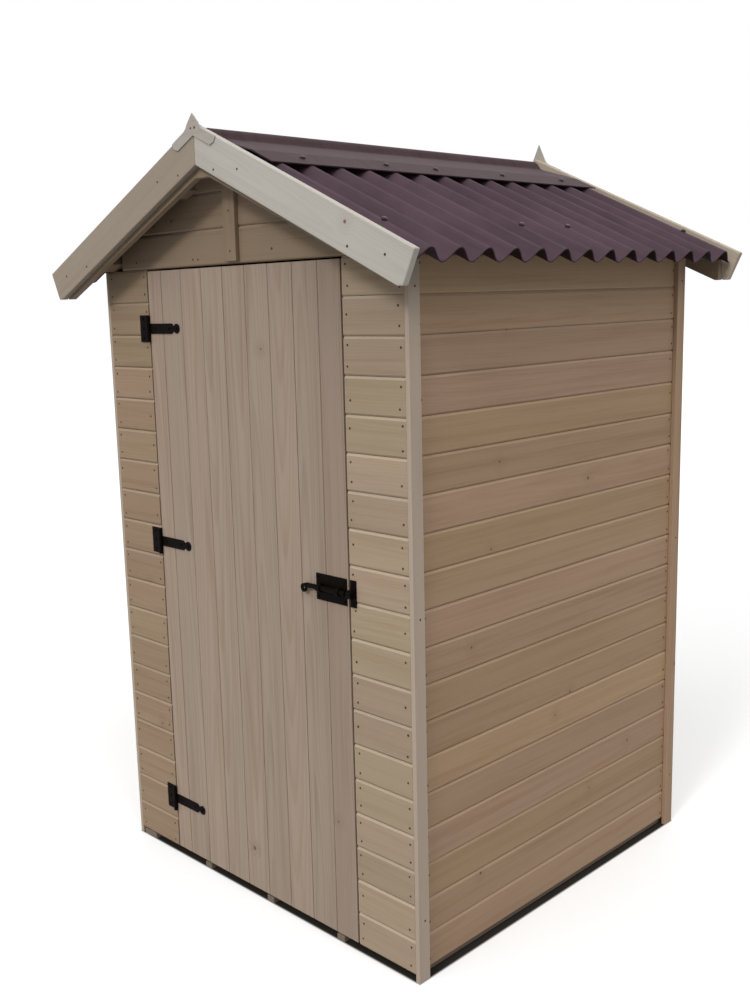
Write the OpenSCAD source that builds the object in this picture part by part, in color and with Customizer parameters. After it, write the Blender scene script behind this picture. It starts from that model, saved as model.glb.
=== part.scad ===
// Small apex garden shed: boarded walls on a joisted floor, two corrugated
// roof sheets between bargeboards, and a plank door on three strap hinges.
//
// Millimetres. X runs from left to right, Y from front to back and Z up. The
// origin is the centre of the footprint, on the ground.
//
// The roof is set out on two sloping frames, one for each side. In them s
// runs down the slope from the ridge and n square to it, with n = 0 on the
// crests of the roof sheets.

/* [Walls] */
// Width of the shed over its corner strips
shed_w = 1150; // [1050:10:1400]
// Depth of the shed over its front and rear boards
shed_d = 1150; // [1000:5:1600]
// Height of wall that one board covers
board_cover = 88; // [80:1:95]
// Number of boards from the foot of a wall to its top
board_rows = 19; // [18:1:21]
// Thickness of the wall boards
board_t = 12; // [10:1:16]
// Height of the lowest wall boards above the ground
skirt_z = 18; // [15:1:30]
// Width of the corner strips
strip_w = 38; // [30:1:50]
// Thickness of the corner strips
strip_t = 12; // [10:1:16]

/* [Wall frames] */
// Width of the studs and rails
frame_w = 44; // [38:1:50]
// Depth of the studs and rails behind the boards
frame_t = 28; // [22:1:35]

/* [Floor] */
// Thickness of the floor boards
deck_t = 14; // [12:1:20]
// Width of the floor joists
joist_w = 26; // [20:1:45]
// Width of the joist along the left wall
left_joist_w = 56; // [30:1:70]
// Spacing of the three inner joists
joist_pitch = 272; // [240:2:290]
// Distance of the middle joist to the right of the centre
middle_joist_x = 36; // [0:2:50]
// Distance that the joist under the right wall stops short of the front
right_joist_setback = 30; // [0:5:60]

/* [Roof] */
// Slope of the roof in degrees
pitch = 25; // [20:1:30]
// Height of the sheets' crests over the wall top, at the outside of a side wall
eave_rise = 52; // [48:1:70]
// Distance that the bargeboards reach past the side walls
eave_overhang = 115; // [110:5:180]
// Distance that the bargeboards stand in front of and behind the walls
gable_overhang = 105; // [90:5:160]
// Distance that the sheets stop short of the ends of the bargeboards
sheet_inset = 15; // [5:1:50]
// Overall height of the corrugations
sheet_h = 35; // [28:1:40]
// Distance between two crests
wave_pitch = 94; // [76:1:110]
// Thickness of the roof sheets
sheet_t = 3; // [2:0.5:4]
// Width of the purlins
purlin_w = 44; // [38:1:50]
// Thickness of the purlins
purlin_t = 28; // [22:1:32]
// Distance of the upper purlins down the slope from the ridge
upper_purlin_s = 205; // [195:5:230]

/* [Bargeboards] */
// Width of the bargeboards
barge_w = 86; // [80:1:110]
// Thickness of the bargeboards
barge_t = 18; // [15:1:22]
// Height of the bargeboards above the crests of the sheets
barge_rise = 2; // [0:1:10]
// Thickness of the rafters behind the bargeboards
rafter_t = 18; // [15:1:25]
// Distance that the rafters hang below the bargeboards at the ridge
rafter_ridge_hang = 16; // [8:1:24]
// Distance that the rafters hang below the bargeboards at the eaves
rafter_eave_hang = 6; // [2:1:8]
// Half the length of the level cut under the rafters' joint
rafter_joint_half = 26; // [10:2:40]
// Distance that the rafters stop short of the ends of the bargeboards
rafter_inset = 52; // [40:1:60]
// Depth of the level cut below the top of the bargeboards' ends
tip_drop = 72; // [65:1:78]

/* [Ridge] */
// Width of the ridge cap, measured level
cap_w = 470; // [440:5:500]
// Distance that the cap laps over each sheet, measured level
cap_lap = 70; // [50:5:80]
// Slope of the cap's wings beside its roll, in degrees
cap_wing_angle = 17; // [14:1:19]
// Radius of the roll along the cap
cap_roll_r = 30; // [24:1:34]
// Steepest slope of the roll's sides, in degrees
cap_roll_angle = 55; // [45:1:60]
// Distance from the ridge to the foot of the roll
cap_foot_x = 35; // [32:1:42]
// Radius of the bend at the foot of the roll
cap_foot_r = 14; // [8:1:18]
// Thickness of the ridge cap
cap_t = 3; // [2:0.5:4]

/* [Finials] */
// Height of the front finial's point above the bargeboards
front_finial_h = 23; // [16:1:50]
// Height of the rear finial's point above the bargeboards
rear_finial_h = 46; // [16:1:60]
// Width of a finial's point where it rises from the bargeboards
finial_w = 52; // [40:2:60]
// Distance that the finials' wings reach from the centre
finial_wing_l = 84; // [70:1:110]
// Depth of the wings, measured upright
finial_wing_h = 28; // [20:1:40]
// Thickness of the finials
finial_t = 14; // [10:1:18]

/* [Gable strip] */
// Width of the upright strip on the front gable
gable_strip_w = 46; // [30:1:60]
// Distance of the strip's middle to the left of the centre
gable_strip_x = 0; // [0:1:40]
// Height of the strip's foot above the wall top
gable_strip_z = 6; // [4:1:80]
// Length of the strip
gable_strip_l = 230; // [100:1:240]
// Thickness of the strip
gable_strip_t = 12; // [8:1:16]

/* [Door] */
// Width of the door leaf
door_w = 742; // [650:1:790]
// Gap on each side of the door
door_gap = 5.5; // [5.5:0.5:8]
// Gap above the door
door_top_gap = 5; // [5:0.5:8]
// Gap below the door, over the joists
door_foot_gap = 5; // [5:0.5:8]
// Height of the ledges on the back of the door
ledge_h = 84; // [70:1:100]
// Thickness of the ledges and braces
ledge_t = 20; // [16:1:24]
// Distance of the ledges' ends from the edges of the leaf
ledge_inset = 43; // [35:1:60]
// Width of the braces, measured level
brace_w = 96; // [80:1:120]

/* [Hinges] */
// Height of the lowest hinge
low_hinge_z = 172; // [150:1:220]
// Height of the middle hinge
middle_hinge_z = 944; // [850:1:1000]
// Height of the top hinge
top_hinge_z = 1533; // [1400:1:1560]
// Width of the hinge plates
hinge_plate_w = 36; // [28:1:44]
// Height of the hinge plates
hinge_plate_h = 72; // [64:1:84]
// Length of the straps from the hinge pin to the centre of their round ends
strap_l = 123; // [110:1:160]
// Height of the straps
strap_h = 27; // [22:1:32]
// Radius of the straps' round ends
strap_end_r = 12.5; // [10:0.5:13]
// Thickness of the hinge straps and plates
hinge_t = 2.5; // [2:0.5:3]
// Radius of the knuckles
knuckle_r = 5.5; // [4.5:0.5:6]
// Radius of the hinge pins
pin_r = 2.5; // [2:0.25:3]

/* [Bolt] */
// Height of the sliding bolt
bolt_z = 919; // [860:1:960]
// Length of the plate that carries the bolt
bolt_plate_l = 104; // [96:1:112]
// Height of the plate and of the keeper
bolt_plate_h = 65; // [56:1:70]
// Distance of the plate from the door's edge
bolt_plate_inset = 4; // [3:1:10]
// Radius of the bolt
bolt_r = 6; // [5:0.5:7]
// Distance that the bolt slides
bolt_travel = 32; // [28:1:34]
// Width of the keeper on the wall
keeper_w = 19; // [16:1:24]
// Radius of the handle's round eye
handle_r = 11; // [9:0.5:12]

/* [Hidden] */
// Clearances
running_gap = 0.1;      // between a hinge pin and its knuckle
knuckle_gap = 1;        // between two knuckles of one hinge
guide_gap = 0.5;        // between the bolt and its guides
keeper_gap = 1;         // between the bolt and the keeper
face_gap = 0.5;         // between a knuckle and the boards behind it
seat_gap = 0.5;         // between the ridge cap and the crests
notch_gap = 1;          // round a purlin where it passes through a gable
moving_gap = 5;         // between the closed door and what lies behind it
skirt_gap = 1;          // between the wall boards and the joists
gable_gap = 2;          // between a gable and the sheets over it
end_gap = 1.5;          // between the ridge cap and the rafters

// Walls
half_w = shed_w / 2;
half_d = shed_d / 2;
wall_x = half_w - strip_t;          // outside of the side walls' boards
inner_x = wall_x - board_t;         // inside of the side walls' boards
inner_y = half_d - board_t;         // inside of the front and rear boards
wall_top = skirt_z + board_rows * board_cover;
frame_y = inner_y - frame_t;        // inside of the front and rear frames
frame_x = inner_x - frame_t;        // inside of the side frames
post_x = inner_x - frame_w;         // inside of the corner posts

// Floor
joist_h = skirt_z - skirt_gap;
deck_top = joist_h + deck_t;

// Door
door_half = door_w / 2;
doorway_half = door_half + door_gap;
door_foot = joist_h + door_foot_gap;
door_head = wall_top - door_top_gap;
ledge_half = door_half - ledge_inset;
hinge_heights = [low_hinge_z, middle_hinge_z, top_hinge_z];
hinge_x = -door_half - door_gap / 2;
hinge_y = -half_d - knuckle_r - face_gap;

// Bolt
bolt_y = -half_d - hinge_t - bolt_r - 3;
bolt_tip_x = door_half - 1;
bolt_plate_x = door_half - bolt_plate_inset - bolt_plate_l;
keeper_x = doorway_half + 2.5;
guide_r = bolt_r + 3.5;
guide_w = 12;
guide_inset = 14;
handle_x = bolt_plate_x - 34;
handle_end_x = bolt_plate_x + guide_inset - bolt_travel - 2;
handle_drop = 8;
handle_hole_r = 3.5;
handle_t = 4;

// Roof
roof_half = half_w + eave_overhang;
crest_z = wall_top + eave_rise + half_w * tan(pitch);
barge_y = half_d + gable_overhang;
rafter_y = barge_y - barge_t;
purlin_y = rafter_y - rafter_t;
barge_top = barge_rise * cos(pitch);
barge_bottom = barge_top - barge_w;
end_s = (roof_half - barge_top * sin(pitch)) / cos(pitch);
tip_z = crest_z + barge_rise - roof_half * tan(pitch) - tip_drop;
wave_count = floor(2 * rafter_y / wave_pitch);
wave_steps = 12;
sheet_len_y = wave_count * wave_pitch;
sheet_start_s = (cap_w / 2 - cap_lap) / cos(pitch);
sheet_end_s = (roof_half - sheet_inset) / cos(pitch);
purlin_bottom = -sheet_h - purlin_t;
eave_purlin_s = (crest_z + purlin_bottom * cos(pitch) - wall_top) / sin(pitch) - purlin_w / 2;
gable_half = slope_point(eave_purlin_s - purlin_w / 2, purlin_bottom).x - 8;

// Ridge cap
cap_half = cap_w / 2;
cap_bend = [cap_half - cap_lap, at_x(cap_half - cap_lap, seat_gap + cap_t).y];
cap_edge = at_x(cap_half, seat_gap + cap_t);
cap_foot = [cap_foot_x, cap_bend.y + (cap_bend.x - cap_foot_x) * tan(cap_wing_angle)];
cap_roll_side = [cap_roll_r * sin(cap_roll_angle),
    cap_foot.y + (cap_foot_x - cap_roll_r * sin(cap_roll_angle)) * tan(cap_roll_angle)];
cap_roll_z = cap_roll_side.y - cap_roll_r * cos(cap_roll_angle);
cap_foot_cut = cap_foot_r * tan((cap_roll_angle - cap_wing_angle) / 2);

// Colours
board_colour = [0.60, 0.53, 0.44];
side_colour = [0.55, 0.46, 0.36];
door_colour = [0.58, 0.53, 0.47];
frame_colour = [0.70, 0.60, 0.45];
strip_colour = [0.62, 0.58, 0.54];
barge_colour = [0.80, 0.78, 0.74];
roof_colour = [0.35, 0.28, 0.33];
metal_colour = [0.08, 0.08, 0.08];

// ---- Points and outlines ----

// Point [x, z] at s down the right slope and n above its crests
function slope_point(s, n) =
    [s * cos(pitch) + n * sin(pitch), crest_z - s * sin(pitch) + n * cos(pitch)];

// Point [x, z] at the level distance x, on the line n above the crests
function at_x(x, n) = [x, crest_z + n / cos(pitch) - x * tan(pitch)];

// Point [x, z] at the height z, on the line n above the crests
function at_z(z, n) = [(crest_z + n / cos(pitch) - z) / tan(pitch), z];

// Unit vector along a path at its point i
function heading(path, i) =
    let (d = path[min(i + 1, len(path) - 1)] - path[max(i - 1, 0)]) d / norm(d);

// Outline of a strip of the thickness t under a path that runs to the right
function ribbon(path, t) = concat(path,
    [for (i = [len(path) - 1 : -1 : 0])
        let (h = heading(path, i)) path[i] + t * [h.y, -h.x]]);

// One edge of the sheets across their waves, from trough to trough
function wave_path() = let (rise = (sheet_h - sheet_t) / 2)
    [for (i = [0 : wave_count * wave_steps])
        [i * wave_pitch / wave_steps - sheet_len_y / 2,
         -rise - rise * cos(360 * i / wave_steps)]];

// Right half of the ridge cap's top, from the crown to the edge
function cap_half_path() = let (
        start = cap_foot + cap_foot_cut * [-cos(cap_roll_angle), sin(cap_roll_angle)],
        centre = start + cap_foot_r * [sin(cap_roll_angle), cos(cap_roll_angle)],
        roll_step = cap_roll_angle / 6,
        foot_step = (cap_roll_angle - cap_wing_angle) / 4)
    concat(
        [for (k = [0 : 6]) [0, cap_roll_z] + cap_roll_r * [sin(k * roll_step), cos(k * roll_step)]],
        [for (k = [0 : 4]) let (a = cap_roll_angle - k * foot_step)
            centre - cap_foot_r * [sin(a), cos(a)]],
        [cap_bend, cap_edge]);

// Top of the whole ridge cap, from its left edge to its right edge
function cap_path() = let (half = cap_half_path())
    concat([for (i = [len(half) - 1 : -1 : 1]) [-half[i].x, half[i].y]], half);

// ---- Placing ----

// Left-hand copy of what is drawn on the right, where side is -1
module on_side(side) {
    if (side < 0) mirror([1, 0, 0]) children();
    else children();
}

// Rear copy of what is drawn at the front, where end is 1
module at_end(end) {
    if (end > 0) mirror([0, 1, 0]) children();
    else children();
}

// Frame of one roof slope: x is s, y runs front to back and z is n
module on_slope(side) {
    on_side(side) translate([0, 0, crest_z]) rotate([0, pitch, 0]) children();
}

// Upright slab of the thickness t whose front face is at y, drawn as [x, z]
module upright(y, t) {
    translate([0, y + t, 0]) rotate([90, 0, 0]) linear_extrude(t) children();
}

// Box between two opposite corners
module block(low, high) {
    translate(low) cube(high - low);
}

// ---- Floor ----

module floor_deck() {
    color(frame_colour)
        block([-inner_x, moving_gap - inner_y, joist_h], [inner_x, inner_y, deck_top]);
}

module joist(x, w, y) {
    block([x - w / 2, y, 0], [x + w / 2, half_d, joist_h]);
}

module floor_joists() {
    color(frame_colour) {
        joist(left_joist_w / 2 - inner_x, left_joist_w, -half_d);
        for (k = [-1 : 1]) joist(middle_joist_x + k * joist_pitch, joist_w, -half_d);
        joist(inner_x - joist_w / 2, joist_w, right_joist_setback - half_d);
    }
}

// ---- Boarded walls ----

module front_wall(side) {
    color(board_colour) on_side(side)
        block([doorway_half, -half_d, skirt_z], [wall_x, -inner_y, wall_top]);
}

module side_wall(side) {
    color(side_colour) on_side(side)
        block([inner_x, -inner_y, skirt_z], [wall_x, inner_y, wall_top]);
}

module rear_wall() {
    color(board_colour) block([-wall_x, inner_y, skirt_z], [wall_x, half_d, wall_top]);
}

// Boards of a gable, notched where the upper purlins pass through
module gable(end) {
    color(board_colour) at_end(end) difference() {
        upright(-half_d, board_t) polygon([
            [-gable_half, wall_top], [gable_half, wall_top],
            at_x(gable_half, -sheet_h) - [0, gable_gap],
            at_x(0, -sheet_h) - [0, gable_gap],
            [-gable_half, at_x(gable_half, -sheet_h).y - gable_gap]]);
        for (side = [-1, 1]) on_slope(side)
            block([upper_purlin_s - purlin_w / 2 - notch_gap, -barge_y, purlin_bottom - notch_gap],
                [upper_purlin_s + purlin_w / 2 + notch_gap, 0, 0]);
    }
}

module corner_strip(side, end) {
    color(strip_colour) on_side(side) at_end(end)
        block([wall_x, -half_d, 0], [half_w, strip_w - half_d, wall_top]);
}

// The strip stands on the gable's boards and ends in the shade of the roof
module gable_strip() {
    foot = wall_top + gable_strip_z;
    color(board_colour)
        block([-gable_strip_x - gable_strip_w / 2, -half_d - gable_strip_t, foot],
            [-gable_strip_x + gable_strip_w / 2, -half_d, foot + gable_strip_l]);
}

// ---- Wall frames ----

// Pair of uprights between the rails of the front or the rear frame
module posts(x, end) {
    color(frame_colour) for (side = [-1, 1]) on_side(side) at_end(end)
        block([x, -inner_y, deck_top + frame_w], [x + frame_w, -frame_y, wall_top - frame_w]);
}

// Short rails beside the doorway, at the foot and the top of the wall
module front_rails() {
    color(frame_colour) for (side = [-1, 1], z = [deck_top, wall_top - frame_w])
        on_side(side) block([doorway_half, -inner_y, z], [inner_x, -frame_y, z + frame_w]);
}

module rear_rails() {
    color(frame_colour) for (z = [deck_top, wall_top - frame_w])
        block([-inner_x, frame_y, z], [inner_x, inner_y, z + frame_w]);
}

module side_studs(side) {
    color(frame_colour) on_side(side) for (y = [-frame_y, frame_y - frame_w])
        block([frame_x, y, deck_top + frame_w], [inner_x, y + frame_w, wall_top - frame_w]);
}

module side_rails(side) {
    color(frame_colour) on_side(side) for (z = [deck_top, wall_top - frame_w])
        block([frame_x, -frame_y, z], [inner_x, frame_y, z + frame_w]);
}

// Rails behind the lowest gable boards, over the door and over the rear wall
module gable_rails() {
    color(frame_colour) for (end = [-1, 1]) at_end(end)
        block([-gable_half, -inner_y, wall_top], [gable_half, -frame_y, wall_top + frame_w]);
}

// ---- Roof frame ----

module purlin_pair(s) {
    color(frame_colour) for (side = [-1, 1]) on_slope(side)
        block([s - purlin_w / 2, -purlin_y, purlin_bottom], [s + purlin_w / 2, purlin_y, -sheet_h]);
}

// Height of the rafters' lower edge at the level distance x
function rafter_foot(x) = at_x(x, barge_bottom).y - rafter_ridge_hang
    + x * (rafter_ridge_hang - rafter_eave_hang) / roof_half;

// The lower edges run level under the joint of the pair and at the eaves
module rafter_pair(end) {
    end_x = roof_half - rafter_inset;
    level_x = (rafter_foot(0) - tip_z) / (rafter_foot(0) - rafter_foot(1));
    corners = level_x < end_x ? [[end_x, tip_z], [level_x, tip_z]] : [[end_x, rafter_foot(end_x)]];
    joint_z = rafter_foot(rafter_joint_half);
    color(frame_colour) for (side = [-1, 1]) on_side(side) at_end(end)
        upright(-rafter_y, rafter_t) polygon(concat(
            [at_x(0, -sheet_h), at_x(end_x, -sheet_h)], corners,
            [[rafter_joint_half, joint_z], [0, joint_z]]));
}

// A square end, cut level at its tip
module bargeboard(side, end) {
    end_drop = (tip_z - crest_z + end_s * sin(pitch)) / cos(pitch);
    color(barge_colour) on_side(side) at_end(end) upright(-barge_y, barge_t) polygon([
        at_x(0, barge_top), slope_point(end_s, barge_top), slope_point(end_s, end_drop),
        at_z(tip_z, barge_bottom), at_x(0, barge_bottom)]);
}

// Right half of a finial's outline, from its point to the notch below it
function finial_half_path(h) = let (
        half = finial_w / 2,
        low = barge_top - finial_wing_h * cos(pitch),
        middle = barge_top - 0.55 * finial_wing_h * cos(pitch))
    [[0, crest_z + barge_rise + h],
        at_x(half - 4, barge_top) + [0, 9],
        at_x(half + 1, barge_top) + [0, 3],
        at_x(half + 9, barge_top),
        at_x(finial_wing_l, barge_top),
        at_x(finial_wing_l - 7, middle),
        at_x(finial_wing_l - 22, low),
        at_x(0, low)];

// Pointed board with two short wings on the joint of two bargeboards
module finial(end, h) {
    half = finial_half_path(h);
    color(barge_colour) at_end(end) upright(-barge_y - finial_t, finial_t)
        polygon(concat(half, [for (i = [len(half) - 2 : -1 : 1]) [-half[i].x, half[i].y]]));
}

// ---- Roof covering ----

module roof_sheet(side) {
    color(roof_colour) on_slope(side) translate([sheet_start_s, 0, 0])
        rotate([90, 0, 90]) linear_extrude(sheet_end_s - sheet_start_s)
            polygon(ribbon(wave_path(), sheet_t));
}

module ridge_cap() {
    color(roof_colour) upright(end_gap - purlin_y, 2 * (purlin_y - end_gap))
        polygon(ribbon(cap_path(), cap_t));
}

// ---- Door ----

module door_leaf() {
    color(door_colour)
        block([-door_half, -half_d, door_foot], [door_half, -inner_y, door_head]);
}

module door_ledges() {
    color(door_colour) for (z = hinge_heights)
        block([-ledge_half, -inner_y, z - ledge_h / 2], [ledge_half, ledge_t - inner_y, z + ledge_h / 2]);
}

// Braces that rise from the hinge side, each between two ledges
module door_braces() {
    color(door_colour) for (k = [0, 1]) {
        low = hinge_heights[k] + ledge_h / 2;
        high = hinge_heights[k + 1] - ledge_h / 2;
        upright(-inner_y, ledge_t) polygon([
            [-ledge_half, low], [brace_w - ledge_half, low],
            [ledge_half, high], [ledge_half - brace_w, high]]);
    }
}

// ---- Hinges ----

// Length of barrel on the hinge pin, between two heights
module barrel(low, high, r) {
    translate([hinge_x, hinge_y, low]) cylinder(h = high - low, r = r, $fn = 32);
}

// Strap on the door with the middle knuckle, a narrow neck and a round end
module hinge_strap(z) {
    end_x = hinge_x + strap_l;
    neck_x = end_x - strap_end_r;
    straight_x = neck_x - 9;
    half = strap_h / 2;
    difference() {
        union() {
            barrel(z - half, z + half, knuckle_r);
            upright(-half_d - hinge_t, hinge_t) union() {
                polygon([[hinge_x, z - half], [straight_x, z - half], [neck_x, z - half / 2],
                    [neck_x + 4, z - half / 2], [neck_x + 4, z + half / 2],
                    [neck_x, z + half / 2], [straight_x, z + half], [hinge_x, z + half]]);
                translate([end_x, z]) circle(r = strap_end_r, $fn = 32);
            }
        }
        barrel(z - strap_h, z + strap_h, pin_r + running_gap);
    }
}

// Plate on the wall with the upper and lower knuckles and the pin
module hinge_plate(z) {
    half = hinge_plate_h / 2;
    low = strap_h / 2 + knuckle_gap;
    flat_x = hinge_x - knuckle_r - face_gap;
    union() {
        block([flat_x - hinge_plate_w, -half_d - hinge_t, z - half],
            [flat_x, -half_d, z + half]);
        for (turn = [-1, 1]) {
            block([flat_x - 1, -half_d - hinge_t, z + (turn < 0 ? -half : low)],
                [hinge_x, -half_d, z + (turn < 0 ? -low : half)]);
            barrel(z + (turn < 0 ? -half : low), z + (turn < 0 ? -low : half), knuckle_r);
        }
        barrel(z - half, z + half, pin_r);
    }
}

module hinge_straps() {
    color(metal_colour) for (z = hinge_heights) hinge_strap(z);
}

module hinge_plates() {
    color(metal_colour) for (z = hinge_heights) hinge_plate(z);
}

// ---- Bolt ----

// Round bar along X about the bolt's line
module bolt_bar(x, l, r) {
    translate([x, bolt_y, bolt_z]) rotate([0, 90, 0]) cylinder(h = l, r = r, $fn = 40);
}

// Staple of the width w round the bolt's line, standing on a plate
module guide(x, w, r) {
    bolt_bar(x, w, r);
    block([x, bolt_y, bolt_z - r], [x + w, -half_d - hinge_t, bolt_z + r]);
}

module bolt_plate() {
    end_x = bolt_plate_x + bolt_plate_l;
    color(metal_colour) difference() {
        union() {
            block([bolt_plate_x, -half_d - hinge_t, bolt_z - bolt_plate_h / 2],
                [end_x, -half_d, bolt_z + bolt_plate_h / 2]);
            for (x = [bolt_plate_x + guide_inset, end_x - guide_inset - guide_w])
                guide(x, guide_w, guide_r);
        }
        bolt_bar(bolt_plate_x - 1, bolt_plate_l + 2, bolt_r + guide_gap);
    }
}

// Bolt drawn back clear of the keeper, with a flat handle that ends in an eye
module sliding_bolt() {
    eye_z = bolt_z - handle_drop;
    color(metal_colour) {
        bolt_bar(handle_end_x - 4, bolt_tip_x - handle_end_x + 4, bolt_r);
        upright(bolt_y - handle_t / 2, handle_t) difference() {
            union() {
                translate([handle_x, eye_z]) circle(r = handle_r, $fn = 40);
                polygon([[handle_x, eye_z - handle_r], [handle_end_x, bolt_z - bolt_r],
                    [handle_end_x, bolt_z + bolt_r], [handle_x, eye_z + handle_r]]);
            }
            translate([handle_x, eye_z]) circle(r = handle_hole_r, $fn = 32);
        }
    }
}

module bolt_keeper() {
    color(metal_colour) difference() {
        union() {
            block([keeper_x, -half_d - hinge_t, bolt_z - bolt_plate_h / 2],
                [keeper_x + keeper_w, -half_d, bolt_z + bolt_plate_h / 2]);
            guide(keeper_x + 2, keeper_w - 4, guide_r + keeper_gap);
        }
        bolt_bar(keeper_x - 1, keeper_w + 2, bolt_r + keeper_gap);
    }
}

floor_deck();
floor_joists();
front_wall(-1);  // front_wall_left
front_wall(1);  // front_wall_right
gable(-1);  // front_gable
side_wall(-1);  // left_wall
side_wall(1);  // right_wall
rear_wall();
gable(1);  // rear_gable
corner_strip(-1, -1);  // corner_strip_front_left
corner_strip(1, -1);  // corner_strip_front_right
corner_strip(-1, 1);  // corner_strip_rear_left
corner_strip(1, 1);  // corner_strip_rear_right
posts(post_x, -1);  // front_posts
posts(doorway_half, -1);  // door_jambs
front_rails();
posts(post_x, 1);  // rear_posts
rear_rails();
side_studs(-1);  // left_studs
side_rails(-1);  // left_rails
side_studs(1);  // right_studs
side_rails(1);  // right_rails
gable_rails();
gable_strip();
purlin_pair(eave_purlin_s);  // eave_purlins
purlin_pair(upper_purlin_s);  // upper_purlins
rafter_pair(-1);  // front_rafters
rafter_pair(1);  // rear_rafters
roof_sheet(-1);  // roof_sheet_left
roof_sheet(1);  // roof_sheet_right
ridge_cap();
bargeboard(-1, -1);  // bargeboard_front_left
bargeboard(1, -1);  // bargeboard_front_right
bargeboard(-1, 1);  // bargeboard_rear_left
bargeboard(1, 1);  // bargeboard_rear_right
finial(-1, front_finial_h);  // finial_front
finial(1, rear_finial_h);  // finial_rear
door_leaf();
door_ledges();
door_braces();
hinge_straps();
hinge_plates();
bolt_plate();
sliding_bolt();
bolt_keeper();
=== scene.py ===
"""The looks of a small apex garden shed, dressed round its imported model.

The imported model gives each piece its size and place. This script turns the
plain wall slabs, the door leaf and the floor into tongued and grooved boards,
eases the edges of the timber that shows, drives the nails and screws, and
finishes the wood, the roofing and the ironwork. It ends with plain studio
light, a pale floor and a camera.
"""

import logging
import math
import random
from dataclasses import dataclass, field
from enum import Enum
from functools import cache

import bmesh
import bpy
import numpy as np
from mathutils import Matrix, Vector


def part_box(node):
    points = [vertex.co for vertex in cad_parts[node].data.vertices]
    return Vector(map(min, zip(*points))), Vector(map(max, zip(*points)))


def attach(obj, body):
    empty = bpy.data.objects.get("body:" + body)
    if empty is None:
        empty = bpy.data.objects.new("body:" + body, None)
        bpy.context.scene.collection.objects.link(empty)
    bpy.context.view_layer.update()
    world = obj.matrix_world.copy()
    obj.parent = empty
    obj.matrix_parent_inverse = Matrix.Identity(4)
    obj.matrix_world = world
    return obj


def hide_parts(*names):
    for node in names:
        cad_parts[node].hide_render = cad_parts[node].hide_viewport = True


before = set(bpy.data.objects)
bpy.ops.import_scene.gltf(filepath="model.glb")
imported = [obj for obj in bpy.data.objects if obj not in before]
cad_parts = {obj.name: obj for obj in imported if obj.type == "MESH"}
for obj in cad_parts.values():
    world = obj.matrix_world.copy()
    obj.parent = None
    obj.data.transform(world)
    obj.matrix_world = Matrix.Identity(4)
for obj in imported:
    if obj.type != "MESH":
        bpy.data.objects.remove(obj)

LOG = logging.getLogger("shed")
MM = 0.001
RIGHT, BACK, UP = Vector((1, 0, 0)), Vector((0, 1, 0)), Vector((0, 0, 1))
ROOF_PITCH = math.radians(25)
WAVE = 94 * MM
WAVE_RISE = 16 * MM

Rgb = tuple[int, int, int]
Colour = tuple[float, float, float, float]
Socket = bpy.types.NodeSocket
Feed = Socket | float | tuple


def paint(red: int, green: int, blue: int) -> Colour:
    """Turns a colour as it is seen, 0 to 255 a channel, into linear light.

    Args:
        red: Red channel.
        green: Green channel.
        blue: Blue channel.

    Returns:
        The colour as linear red, green, blue and an alpha of 1.
    """
    seen = [channel / 255 for channel in (red, green, blue)]
    light = [c / 12.92 if c <= 0.04045 else ((c + 0.055) / 1.055) ** 2.4 for c in seen]
    return (*light, 1.0)


def crest_height() -> float:
    """Returns how high the crests of the two roof sheets would meet over the middle."""
    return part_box("bargeboard_front_right")[1].z - 2 * MM


class Body(Enum):
    """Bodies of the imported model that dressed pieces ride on."""

    SHED = "shed"
    DOOR = "door"


class Along(Enum):
    """Direction of the grain in a material that has no grain attribute."""

    PIECE = "piece"
    X = "x"
    Y = "y"
    Z = "z"


# ---- Node trees ----


class Graph:
    """Adds nodes to a shader or Geometry Nodes tree and joins them."""

    def __init__(self, tree: bpy.types.NodeTree) -> None:
        """Takes the tree that the nodes go into."""
        self.tree = tree

    def add(self, kind: str, feeds: dict | None = None, **settings: str | bool) -> bpy.types.Node:
        """Adds one node.

        Args:
            kind: The node's type.
            feeds: Sockets or plain values for its inputs, by name or number.
            **settings: The node's own settings.

        Returns:
            The new node.
        """
        node = self.tree.nodes.new(kind)
        for name, value in settings.items():
            setattr(node, name, value)
        for key, value in (feeds or {}).items():
            self.feed(node.inputs[key], value)
        return node

    def feed(self, socket: Socket, value: Feed) -> None:
        """Joins a socket to another one, or gives it a plain value.

        Args:
            socket: Input to be fed.
            value: The other socket, or the value.
        """
        if isinstance(value, Socket):
            self.tree.links.new(value, socket)
        else:
            socket.default_value = value


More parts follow.
